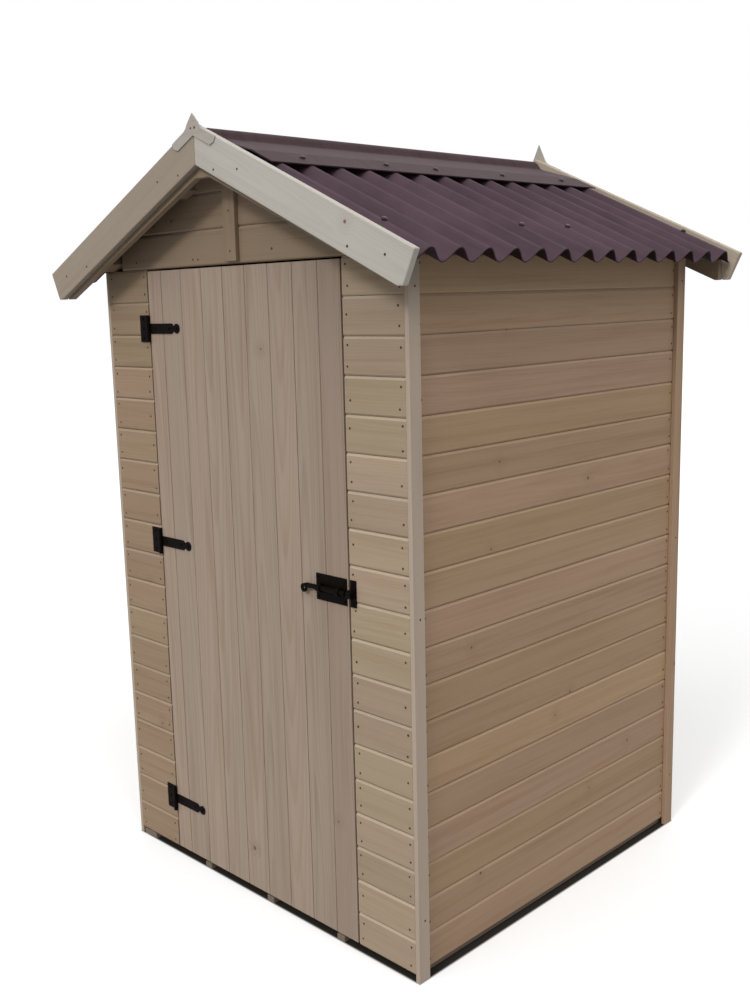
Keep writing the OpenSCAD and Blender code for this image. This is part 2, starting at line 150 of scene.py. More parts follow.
class ShaderGraph(Graph):
    """Shader nodes in short form."""

    def math(self, operation: str, *terms: Feed, clamp: bool = False) -> Socket:
        """Returns the result of one Math node on up to three terms."""
        feeds = dict(enumerate(terms))
        return self.add("ShaderNodeMath", feeds, operation=operation, use_clamp=clamp).outputs[0]

    def times(self, first: Feed, second: Feed, clamp: bool = False) -> Socket:
        """Returns the product of two values."""
        return self.math("MULTIPLY", first, second, clamp=clamp)

    def plus(self, first: Feed, second: Feed) -> Socket:
        """Returns the sum of two values."""
        return self.math("ADD", first, second)

    def minus(self, first: Feed, second: Feed) -> Socket:
        """Returns the first value less the second."""
        return self.math("SUBTRACT", first, second)

    def line(self, value: Feed, slope: Feed, start: Feed) -> Socket:
        """Returns a value times a slope, counted from a start."""
        return self.math("MULTIPLY_ADD", value, slope, start)

    def vector(self, operation: str, *terms: Feed) -> Socket:
        """Returns the result of one Vector Math node."""
        return self.add("ShaderNodeVectorMath", dict(enumerate(terms)), operation=operation).outputs[0]

    def parts(self, vector: Socket) -> list[Socket]:
        """Returns the three parts of a vector."""
        return list(self.add("ShaderNodeSeparateXYZ", {0: vector}).outputs)

    def spot(self) -> Socket:
        """Returns a point's place in the shed's frame."""
        return self.add("ShaderNodeTexCoord").outputs["Object"]

    def mark(self, name: str, output: str = "Vector") -> Socket:
        """Returns an attribute of the mesh."""
        return self.add("ShaderNodeAttribute", attribute_name=name).outputs[output]

    def noise(self, vector: Socket, scale: float, detail: float = 2.0, rough: float = 0.5) -> Socket:
        """Returns a noise between 0 and 1 over a vector."""
        feeds = {"Vector": vector, "Scale": scale, "Detail": detail, "Roughness": rough}
        return self.add("ShaderNodeTexNoise", feeds).outputs[0]

    def drawn(self, vector: Socket, scales: tuple, detail: float = 2.0, rough: float = 0.5) -> Socket:
        """Returns a noise drawn out by a scale of its own along each axis."""
        return self.noise(self.vector("MULTIPLY", vector, scales), 1.0, detail, rough)

    def step(self, value: Feed, low: float, high: float) -> Socket:
        """Returns a smooth step of a value, 0 at low and 1 at high."""
        feeds = {"Value": value, "From Min": low, "From Max": high}
        return self.add("ShaderNodeMapRange", feeds, interpolation_type="SMOOTHSTEP").outputs["Result"]

    def blend(self, factor: Feed, first: Feed, second: Feed, mode: str = "MIX") -> Socket:
        """Returns the mix of two colours."""
        feeds = {0: factor, 6: first, 7: second}
        return self.add("ShaderNodeMix", feeds, data_type="RGBA", blend_type=mode).outputs[2]

    def bump(self, height: Socket, strength: float, distance: float) -> Socket:
        """Returns a normal that follows a height."""
        feeds = {"Height": height, "Strength": strength, "Distance": distance}
        return self.add("ShaderNodeBump", feeds).outputs["Normal"]


def empty_graph(owner: bpy.types.Material | bpy.types.World) -> ShaderGraph:
    """Empties the node tree of a material or a world.

    Args:
        owner: The material or world.

    Returns:
        The graph that fills the tree.
    """
    owner.use_nodes = True
    owner.node_tree.nodes.clear()
    return ShaderGraph(owner.node_tree)


# ---- Finishes ----


KNOT = paint(92, 64, 42)
# Pale colour painted on up-facing chamfers: a painted highlight
PAINTED_CHAMFER_HIGHLIGHT = paint(226, 216, 198)
# Dark colour painted inside the joints: dust and painted shade
JOINT_DUST_AND_PAINTED_SHADE = paint(52, 38, 28)
RING_WIDTH = 5.2 * MM
# Cells a metre that may each hold a knot, the reach of its pull, and its least radius and spread
KNOT_CELLS = 3.1
KNOT_REACH, KNOT_EYE = 35 * MM, 4 * MM
LEAST_KNOT, KNOT_SPREAD = 2.5 * MM, 3.5 * MM
# Scales of the noises, in patches a metre along, across and through a board
WANDER = (1.6, 6.0, 6.0)
STREAKS = (1.3, 48.0, 48.0)
FIBRES = (14.0, 620.0, 620.0)
CLOUDS = (2.2, 9.0, 9.0)
BOARD_CELLS = (0.02, 3.0, 3.0)
# Shift of a board's wood by its random numbers, in metres
BOARD_SHIFT = (23.0, 7.0, 5.0)


@dataclass(frozen=True)
class Finish:
    """A finish, whose material is made once."""

    name: str

    def mix(self, graph: ShaderGraph) -> dict[str, Feed]:
        """Stands for each finish's own mix, which gives the shader's inputs by name."""
        raise NotImplementedError

    @cache
    def material(self) -> bpy.types.Material:
        """Makes the material at the first call.

        Returns:
            The finished material.
        """
        material = bpy.data.materials.new(self.name)
        graph = empty_graph(material)
        shader = graph.add("ShaderNodeBsdfPrincipled", self.mix(graph))
        graph.add("ShaderNodeOutputMaterial", {"Surface": shader.outputs[0]})
        return material


@dataclass(frozen=True)
class WoodFinish(Finish):
    """Bare softwood, cut from a log whose rings it shows.

    The grain attribute holds each point's place in its own board, along the
    grain first, and the tone attribute three random numbers for each board.
    """

    pale: Rgb
    dark: Rgb
    warm: Rgb
    cool: Rgb
    variety: float = 0.6
    contrast: float = 0.55
    figure: float = 0.35
    knots: float = 0.35
    along: Along = Along.PIECE

    def place(self, graph: ShaderGraph) -> tuple[Socket, Socket]:
        """Finds where a point lies in its board.

        Args:
            graph: Graph of the material.

        Returns:
            The place, along the grain first, and the board's random numbers.
        """
        if self.along is Along.PIECE:
            return graph.mark("grain"), graph.mark("tone")
        part = graph.parts(graph.spot())
        order = {Along.X: (0, 1, 2), Along.Y: (1, 0, 2), Along.Z: (2, 0, 1)}[self.along]
        grain = graph.add("ShaderNodeCombineXYZ", {i: part[k] for i, k in enumerate(order)}).outputs[0]
        cell = graph.vector("MULTIPLY", grain, BOARD_CELLS)
        tone = graph.add("ShaderNodeTexVoronoi", {"Vector": cell, "Scale": 1.0}).outputs["Color"]
        return grain, tone

    def mix(self, graph: ShaderGraph) -> dict[str, Feed]:
        """Mixes the wood.

        Args:
            graph: Graph of the material.

        Returns:
            The shader's inputs by name.
        """
        grain, tone = self.place(graph)
        chance = graph.parts(tone)
        place = graph.vector("ADD", grain, graph.vector("MULTIPLY", tone, BOARD_SHIFT))
        wander = graph.drawn(place, WANDER)
        pull, core = self.knots_near(graph, place)
        rings = self.rings(graph, graph.parts(grain), chance, wander, pull)
        streak = graph.drawn(place, STREAKS, 5.0, 0.65)
        fibre = graph.drawn(place, FIBRES)
        late = graph.plus(
            graph.times(rings, self.figure), graph.times(graph.step(streak, 0.42, 0.72), 1 - self.figure))
        late = graph.plus(late, graph.times(fibre, 0.22))

        colour = self.board_colour(graph, chance, graph.drawn(place, CLOUDS, 3.0), late)
        colour = graph.blend(graph.times(pull, 0.28), colour, paint(*self.dark))
        colour = graph.blend(graph.times(core, 0.85), colour, KNOT)
        # A positive edge value paints a highlight on up-facing chamfers; a negative one paints shade and
        # dust inside the joints
        edge = graph.mark("edge", "Fac")
        colour = graph.blend(graph.times(edge, 1.0, clamp=True), colour, PAINTED_CHAMFER_HIGHLIGHT)
        colour = graph.blend(graph.times(edge, -1.0, clamp=True), colour, JOINT_DUST_AND_PAINTED_SHADE)
        height = graph.plus(graph.times(fibre, 0.6), graph.times(rings, 0.4))
        return {
            "Base Color": colour, "Roughness": graph.line(late, 0.12, 0.62),
            "Specular IOR Level": 0.3, "Normal": graph.bump(height, 0.35, 0.4 * MM)}

    def knots_near(self, graph: ShaderGraph, place: Socket) -> tuple[Socket, Socket]:
        """Scatters knots over the boards.

        Args:
            graph: Graph of the material.
            place: Place in the wood.

        Returns:
            The closeness of a knot, and 1 inside one.
        """
        flat = graph.vector("MULTIPLY", place, (1.0, 1.0, 0.0))
        cell = graph.add(
            "ShaderNodeTexVoronoi", {"Vector": flat, "Scale": KNOT_CELLS}, voronoi_dimensions="2D")
        gap = graph.math("DIVIDE", cell.outputs["Distance"], KNOT_CELLS)
        pick = graph.parts(cell.outputs["Color"])
        here = graph.math("LESS_THAN", pick[0], self.knots)
        pull = graph.times(graph.step(gap, KNOT_REACH, KNOT_EYE), here)
        size = graph.line(pick[1], KNOT_SPREAD, LEAST_KNOT)
        outside = graph.step(graph.math("DIVIDE", gap, size), 0.7, 1.25)
        return pull, graph.times(graph.minus(1.0, outside), here)

    def rings(
            self, graph: ShaderGraph, local: list[Socket], chance: list[Socket], wander: Socket,
            pull: Socket) -> Socket:
        """Draws the year rings of a board.

        Args:
            graph: Graph of the material.
            local: Place in the board.
            chance: The board's random numbers.
            wander: Noise that bends the grain.
            pull: Closeness of a knot, which the rings flow round.

        Returns:
            A value that is 1 in the late wood of each ring.
        """
        pith = graph.line(chance[1], 0.16, -0.08)
        across = graph.plus(graph.minus(local[1], pith), graph.line(wander, 0.05, -0.025))
        lean = graph.times(local[0], graph.line(chance[2], 0.05, -0.025))
        deep = graph.plus(graph.plus(graph.line(chance[0], 0.05, 0.03), local[2]), lean)
        radius = graph.math("SQRT", graph.plus(graph.times(across, across), graph.times(deep, deep)))
        radius = graph.plus(radius, graph.times(pull, 0.009))
        turn = graph.math("FRACT", graph.math("DIVIDE", radius, RING_WIDTH))
        return graph.times(graph.step(turn, 0.35, 0.86), graph.minus(1.0, graph.step(turn, 0.9, 1.0)))

    def board_colour(
            self, graph: ShaderGraph, chance: list[Socket], cloud: Socket, late: Socket) -> Socket:
        """Mixes the colour of clear wood, a little different on each board.

        Args:
            graph: Graph of the material.
            chance: The board's random numbers.
            cloud: Noise of the lighter and darker patches.
            late: Share of late wood.

        Returns:
            The colour.
        """
        colour = graph.blend(
            graph.times(late, self.contrast, clamp=True), paint(*self.pale), paint(*self.dark))
        lean = graph.step(chance[1], 0.15, 0.85)
        tinted = graph.blend(lean, paint(*self.warm), paint(*self.cool))
        colour = graph.blend(self.variety, colour, graph.blend(1.0, colour, tinted, "MULTIPLY"))
        level = graph.line(chance[0], 0.24 * self.variety, 1 - 0.12 * self.variety)
        level = graph.times(level, graph.line(cloud, 0.16, 0.92))
        shade = graph.add("ShaderNodeCombineXYZ", {0: level, 1: level, 2: level}).outputs[0]
        return graph.blend(1.0, colour, shade, "MULTIPLY")


@dataclass(frozen=True)
class RoofingFinish(Finish):
    """Bitumen-fibre roofing, dusty above; corrugated sheets may be dark below."""

    body: Rgb
    faded: Rgb
    deep: Rgb
    under: Rgb | None = None

    def underside(self, graph: ShaderGraph, place: Socket) -> Socket:
        """Finds the lower faces of the corrugated sheets.

        Args:
            graph: Graph of the material.
            place: Place of a point in the shed's frame.

        Returns:
            1 under the sheets and 0 above them.
        """
        part = graph.parts(place)
        rise = graph.times(graph.minus(part[2], crest_height()), math.cos(ROOF_PITCH))
        level = graph.line(graph.math("ABSOLUTE", part[0]), math.sin(ROOF_PITCH), rise)
        swing = graph.math("COSINE", graph.times(part[1], math.tau / WAVE))
        face = graph.line(swing, -WAVE_RISE, -WAVE_RISE)
        return graph.step(graph.minus(face, level), 1 * MM, 2 * MM)

    def mix(self, graph: ShaderGraph) -> dict[str, Feed]:
        """Mixes the roofing.

        Args:
            graph: Graph of the material.

        Returns:
            The shader's inputs by name.
        """
        place = graph.spot()
        cloud = graph.noise(place, 5.0, 4.0, 0.6)
        run = graph.drawn(place, (3.0, 42.0, 3.0), 3.0)
        speck = graph.noise(place, 420.0)
        faded = paint(*self.faded)
        colour = graph.blend(graph.step(cloud, 0.35, 0.7), paint(*self.body), faded)
        colour = graph.blend(graph.times(graph.step(run, 0.45, 0.75), 0.45), colour, paint(*self.deep))
        colour = graph.blend(graph.times(graph.step(speck, 0.52, 0.8), 0.35), colour, faded)
        if self.under:
            colour = graph.blend(self.underside(graph, place), colour, paint(*self.under))
        height = graph.plus(speck, graph.times(run, 0.5))
        return {
            "Base Color": colour, "Roughness": graph.line(cloud, 0.2, 0.7),
            "Specular IOR Level": 0.2, "Normal": graph.bump(height, 0.4, 0.5 * MM)}


@dataclass(frozen=True)
class MetalFinish(Finish):
    """Painted or bare steel of the hinges, the bolt, the nails and the screws."""

    body: Rgb
    worn: Rgb
    metallic: float
    roughness: float
    wear: float = 0.25
    gloss: float = 0.25

    def mix(self, graph: ShaderGraph) -> dict[str, Feed]:
        """Mixes the metal.

        Args:
            graph: Graph of the material.

        Returns:
            The shader's inputs by name.
        """
        place = graph.spot()
        patch = graph.noise(place, 95.0, 4.0, 0.6)
        grit = graph.noise(place, 900.0)
        wear = graph.times(graph.step(patch, 0.5, 0.75), self.wear)
        return {
            "Base Color": graph.blend(wear, paint(*self.body), paint(*self.worn)),
            "Metallic": self.metallic, "Specular IOR Level": self.gloss,
            "Roughness": graph.line(patch, 0.25, self.roughness - 0.12),
            "Normal": graph.bump(grit, 0.25, 0.3 * MM)}


FRONT_WOOD = WoodFinish(
    "front_boards", (160, 145, 125), (136, 115, 92), (255, 250, 234), (255, 244, 240),
    contrast=0.4, figure=0.25)
# Darker copy of the front boards for the left front wall: painted shade under the roof's overhang
FRONT_WOOD_PAINTED_SHADE = WoodFinish(
    "front_boards_painted_shade", (145, 127, 106), (123, 100, 78), (255, 250, 234), (255, 242, 236),
    contrast=0.45, figure=0.25)
# Darker, browner copy of the wall wood for the gable and its strip: painted shade under the eaves
GABLE_WOOD_PAINTED_SHADE = WoodFinish(
    "gable_boards_painted_shade", (137, 119, 100), (114, 94, 74), (255, 250, 238), (255, 246, 240),
    variety=0.4, contrast=0.4, figure=0.25, knots=0.2)
SIDE_WOOD = WoodFinish(
    "side_boards", (160, 137, 113), (136, 108, 82), (255, 246, 226), (252, 240, 244),
    variety=0.65, contrast=0.45, figure=0.2, knots=0.55)
DOOR_WOOD = WoodFinish(
    "door_boards", (155, 142, 130), (126, 104, 88), (254, 249, 240), (255, 243, 233),
    variety=0.65, figure=0.4, knots=0.3)
STRIP_WOOD = WoodFinish(
    "corner_strip_wood", (170, 156, 142), (154, 136, 120), (255, 250, 242), (250, 244, 242),
    variety=0.3, contrast=0.35, knots=0.1)
BARGE_WOOD = WoodFinish(
    "bargeboard_wood", (182, 178, 171), (162, 152, 140), (255, 252, 246), (250, 250, 250),
    variety=0.3, contrast=0.4, knots=0.1)
REAR_BARGE_WOOD = WoodFinish(
    "rear_bargeboard_wood", (172, 160, 145), (154, 138, 120), (255, 252, 244), (252, 246, 244),
    variety=0.3, contrast=0.4, knots=0.1)
TAN_BARGE_WOOD = WoodFinish(
    "left_bargeboard_wood", (148, 137, 124), (132, 116, 102), (255, 250, 240), (252, 244, 242),
    variety=0.3, contrast=0.4, knots=0.1)
FINIAL_WOOD = WoodFinish(
    "finial_wood", (170, 163, 155), (154, 143, 132), (255, 252, 246), (252, 250, 248),
    variety=0.2, contrast=0.4, knots=0.0)
OUTER_WOOD = WoodFinish(
    "rafter_wood", (136, 120, 102), (112, 94, 76), (255, 250, 240), (250, 244, 238),
    variety=0.4, contrast=0.4)
JOIST_WOOD = WoodFinish(
    "joist_wood", (112, 101, 89), (90, 77, 64), (255, 250, 240), (250, 244, 238),
    variety=0.4, contrast=0.4)
FRAME_WOOD = {
    along: WoodFinish(
        f"frame_timber_{along.value}", (178, 156, 122), (150, 122, 88), (255, 248, 230),
        (250, 240, 232), along=along)
    for along in Along
}
ROOFING = RoofingFinish("roofing", (63, 47, 55), (76, 59, 66), (48, 33, 41), (30, 15, 17))
RIDGE_ROOFING = RoofingFinish("ridge_roofing", (55, 38, 42), (66, 49, 53), (40, 26, 30))
BLACK_IRON = MetalFinish("black_iron", (11, 7, 5), (24, 17, 12), 0.0, 0.55, gloss=0.03)
NAIL_STEEL = MetalFinish("nail_steel", (66, 47, 34), (44, 30, 21), 0.2, 0.65, wear=0.8)
ROOF_CAP = MetalFinish("roof_screw_caps", (42, 28, 32), (28, 19, 22), 0.0, 0.45)


# ---- Meshes ----


def stand(name: str, data: bpy.types.ID) -> bpy.types.Object:
    """Stands a mesh, lamp or camera in the scene.

    Args:
        name: Name of the object.
        data: What it shows.

    Returns:
        The new object, unturned at the origin.
    """
    thing = bpy.data.objects.new(name, data)
    bpy.context.scene.collection.objects.link(thing)
    return thing


def show(name: str, mesh: bpy.types.Mesh, material: bpy.types.Material) -> bpy.types.Object:
    """Returns a new object that shows a mesh in one material."""
    dress(mesh, material)
    return stand(name, mesh)


def dress(mesh: bpy.types.Mesh, material: bpy.types.Material) -> None:
    """Gives a mesh one material."""
    mesh.materials.clear()
    mesh.materials.append(material)


def settle(piece: bpy.types.Object, body: Body, nodes: tuple[str, ...] = ()) -> None:
    """Fastens a finished piece to its body.

    Args:
        piece: The piece.
        body: Body that it moves with.
        nodes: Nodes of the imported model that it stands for.
    """
    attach(piece, body.value)
    if nodes:
        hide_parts(*nodes)
    LOG.info("%s: %d faces on %s", piece.name, len(piece.data.polygons), body.value)


def finished_mesh(work: bmesh.types.BMesh, name: str) -> bpy.types.Mesh:
    """Ends the work on a mesh.

    Args:
        work: The mesh that was worked on, which is freed.
        name: Name of the new mesh.

    Returns:
        The mesh, with its faces turned outward.
    """
    bmesh.ops.recalc_face_normals(work, faces=work.faces)
    mesh = bpy.data.meshes.new(name)
    work.to_mesh(mesh)
    work.free()
    return mesh


def solved(piece: bpy.types.Object) -> bpy.types.Mesh:
    """Applies the modifiers of a piece.

    Args:
        piece: The piece, which keeps its own mesh.

    Returns:
        The plain mesh that they give.
    """
    piece.update_tag()
    graph = bpy.context.evaluated_depsgraph_get()
    return bpy.data.meshes.new_from_object(
        piece.evaluated_get(graph), preserve_all_data_layers=True, depsgraph=graph)


def merged_copy(node: str) -> bmesh.types.BMesh:
    """Copies a node's loose triangles into one closed mesh with whole faces.

    Args:
        node: Name of the node.

    Returns:
        The merged mesh, in the shed's own frame.
    """
    mesh = bmesh.new()
    mesh.from_mesh(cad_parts[node].data)
    bmesh.ops.remove_doubles(mesh, verts=mesh.verts, dist=0.005 * MM)
    bmesh.ops.dissolve_limit(
        mesh, angle_limit=math.radians(0.5), verts=mesh.verts, edges=mesh.edges,
        delimit={"NORMAL"})
    return mesh


def islands(mesh: bpy.types.Mesh) -> list[np.ndarray]:
    """Splits a mesh into its separate solids.

    Args:
        mesh: The mesh.

    Returns:
        The vertex numbers of each solid.
    """
    parent = list(range(len(mesh.vertices)))

    def root(i: int) -> int:
        """Follows a vertex to the lowest one that it is joined to.

        Args:
            i: Number of the vertex.

        Returns:
            Number of the lowest one.
        """
        while parent[i] != i:
            parent[i] = parent[parent[i]]
            i = parent[i]
        return i

    for edge in mesh.edges:
        a, b = (root(v) for v in edge.vertices)
        parent[max(a, b)] = min(a, b)
    groups: dict[int, list[int]] = {}
    for i in range(len(parent)):
        groups.setdefault(root(i), []).append(i)
    return [np.array(group) for group in groups.values()]


def grain_axes(points: np.ndarray, length_axis: Vector | None) -> np.ndarray:
    """Finds a board's own axes.

    Args:
        points: Corners of the board.
        length_axis: Direction of the grain, where it isn't the board's length.

    Returns:
        Three rows: the directions along, across and through the board.
    """
    _, _, rows = np.linalg.svd(points - points.mean(0), full_matrices=False)
    if length_axis is None:
        return rows
    first = np.array(length_axis)
    second = max((row - first * row.dot(first) for row in rows), key=lambda row: row.dot(row))
    second /= np.linalg.norm(second)
    return np.array([first, second, np.cross(first, second)])


def mark_grain(mesh: bpy.types.Mesh, seed: int, length_axis: Vector | None = None) -> None:
    """Gives each solid of a mesh its grain and tone attributes.

    Args:
        mesh: The mesh to mark.
        seed: Seed of the boards' random numbers.
        length_axis: Direction of the grain, where it isn't each solid's length.
    """
    place = np.zeros((len(mesh.vertices), 3), np.float32)
    mesh.vertices.foreach_get("co", place.ravel())
    grain, tone = np.zeros_like(place), np.zeros_like(place)
    draw = random.Random(seed)
    order = sorted(islands(mesh), key=lambda g: tuple(np.round(place[g].mean(0), 4)[::-1]))
    for group in order:
        points = place[group]
        grain[group] = (points - points.mean(0)) @ grain_axes(points, length_axis).T
        tone[group] = [draw.random() for _ in range(3)]
    for name, values in (("grain", grain), ("tone", tone)):
        layer = mesh.attributes.new(name, "FLOAT_VECTOR", "POINT")
        layer.data.foreach_set("vector", values.ravel())


def eased_copy(node: str, ease: float, seed: int) -> bpy.types.Mesh:
    """Copies a node with its edges slightly rounded and its grain marked.

    Args:
        node: Name of the node.
        ease: Radius of the rounding.
        seed: Seed of the grain.

    Returns:
        The new mesh.
    """
    work = merged_copy(node)
    sharp = [e for e in work.edges if e.is_manifold and e.calc_face_angle() > math.radians(15)]
    bmesh.ops.bevel(
        work, geom=sharp, offset=ease, segments=2, profile=0.5, affect="EDGES",
        clamp_overlap=True)
    mesh = finished_mesh(work, f"eased_{node}")
    mark_grain(mesh, seed)
    return mesh


# ---- Geometry Nodes ----


class GeometryTree(Graph):
    """A Geometry Nodes tree with named inputs, built here and used as a modifier."""

    def __init__(self, name: str, inputs: dict[str, str]) -> None:
        """Starts a tree.

        Args:
            name: Name of the tree.
            inputs: Socket type of each input, without its prefix, by the input's name.
        """
        super().__init__(bpy.data.node_groups.new(name, "GeometryNodeTree"))
        face = self.tree.interface
        face.new_socket("Geometry", in_out="INPUT", socket_type="NodeSocketGeometry")
        self.keys = {
            key: face.new_socket(key, in_out="INPUT", socket_type=f"NodeSocket{kind}").identifier
            for key, kind in inputs.items()
        }
        face.new_socket("Geometry", in_out="OUTPUT", socket_type="NodeSocketGeometry")
        self.given = self.add("NodeGroupInput").outputs

    def chance(self, kind: str, low: Feed, high: Feed) -> Socket:
        """Adds a random value for each point, from the tree's seed.

        Args:
            kind: FLOAT or FLOAT_VECTOR.
            low: Lowest value.
            high: Highest value.

        Returns:
            The value's socket.
        """
        node = self.add("FunctionNodeRandomValue", {"Seed": self.given["Seed"]}, data_type=kind)
        first, result = (0, 0) if kind == "FLOAT_VECTOR" else (2, 1)
        self.feed(node.inputs[first], low)
        self.feed(node.inputs[first + 1], high)
        return node.outputs[result]

    def finish(self, geometry: Socket) -> None:
        """Ends the tree: instances become real and take the Finish input.

        Args:
            geometry: What the tree has made.
        """
        real = self.add("GeometryNodeRealizeInstances", {0: geometry}).outputs[0]
        dressed = self.add("GeometryNodeSetMaterial", {0: real, "Material": self.given["Finish"]})
        self.add("NodeGroupOutput", {0: dressed.outputs[0]})

    def run(self, host: bpy.types.Object, values: dict) -> None:
        """Runs the tree on an object and keeps the result as its plain mesh.

        Args:
            host: Object whose mesh goes in, and is replaced by the result.
            values: Value of each input, by name.
        """
        modifier = host.modifiers.new(self.tree.name, "NODES")
        modifier.node_group = self.tree
        for name, value in values.items():
            modifier[self.keys[name]] = value
        result = solved(host)
        host.modifiers.remove(modifier)
        host.data = result


@cache
def course_tree() -> GeometryTree:
    """Builds the tree that lays one board again and again.

    Returns:
        A tree whose inputs are the number of boards, the step from one to the
        next, the play in depth that each may have, a seed and the finish.
    """
    tree = GeometryTree("board_course", {
        "Boards": "Int", "Step": "Vector", "Play": "Vector", "Seed": "Int", "Finish": "Material"})
    line = tree.add(
        "GeometryNodeMeshLine", {"Count": tree.given["Boards"], "Offset": tree.given["Step"]},
        mode="OFFSET")
    play = tree.chance("FLOAT_VECTOR", (0, 0, 0), tree.given["Play"])
    placed = tree.add("GeometryNodeSetPosition", {"Geometry": line.outputs[0], "Offset": play})
    laid = tree.add(
        "GeometryNodeInstanceOnPoints",
        {"Points": placed.outputs[0], "Instance": tree.given["Geometry"]})
    tree.finish(laid.outputs[0])
    return tree


@cache
def fixing_tree() -> GeometryTree:
    """Builds the tree that sets a nail or screw head on each given point.

    Returns:
        A tree whose inputs are the head, the spread of its size, a seed and
        the finish. The heads look along the points' facing attribute.
    """
    tree = GeometryTree(
        "fixings", {"Head": "Object", "Spread": "Float", "Seed": "Int", "Finish": "Material"})
    head = tree.add("GeometryNodeObjectInfo", {"Object": tree.given["Head"], "As Instance": True})
    facing = tree.add("GeometryNodeInputNamedAttribute", {"Name": "facing"}, data_type="FLOAT_VECTOR")
    aim = tree.add("FunctionNodeAlignRotationToVector", {"Vector": facing.outputs[0]}, axis="Z")
    turn = tree.chance("FLOAT", 0.0, math.tau)
    spin = tree.add("FunctionNodeAxisAngleToRotation", {"Axis": UP, "Angle": turn})
    pose = tree.add(
        "FunctionNodeRotateRotation", {0: aim.outputs[0], 1: spin.outputs[0]}, rotation_space="LOCAL")
    least = tree.add("ShaderNodeMath", {0: 1.0, 1: tree.given["Spread"]}, operation="SUBTRACT")
    placed = tree.add("GeometryNodeInstanceOnPoints", {
        "Points": tree.given["Geometry"], "Instance": head.outputs["Geometry"],
        "Rotation": pose.outputs[0], "Scale": tree.chance("FLOAT", least.outputs[0], 1.0)})
    tree.finish(placed.outputs[0])
    return tree


# ---- Boards ----


@dataclass
class Board:
    """Section of a tongued and grooved board.

    Points are measured across the board and inward from its face. The foot of
    one board overlaps the tongue of the one before it, and the eased top edge
    catches the light under the dark joint; the panel also paints a highlight on
    that edge and shade inside the joint.
    """

    cover: float
    thickness: float
    joint: float
    chamfer: float
    chamfer_depth: float
    arris: float
    arris_depth: float
    tongue: float = 5.5 * MM
    play: float = 0.3 * MM

    def section(self) -> list[tuple[float, float]]:
        """Draws the outline, round the board from the foot of its face.

        Returns:
            Distance across and depth of each corner.
        """
        third = self.thickness / 3
        top, foot = self.cover, self.joint
        groove = foot + self.tongue + self.play
        return [
            (foot, self.arris_depth), (foot + self.arris, 0.0),
            (top - self.chamfer, 0.0), (top, self.chamfer_depth),
            (top, third + self.play), (top + self.tongue, third + self.play),
            (top + self.tongue, 2 * third - self.play), (top, 2 * third - self.play),
            (top, self.thickness), (foot, self.thickness),
            (foot, 2 * third), (groove, 2 * third), (groove, third), (foot, third),
        ]


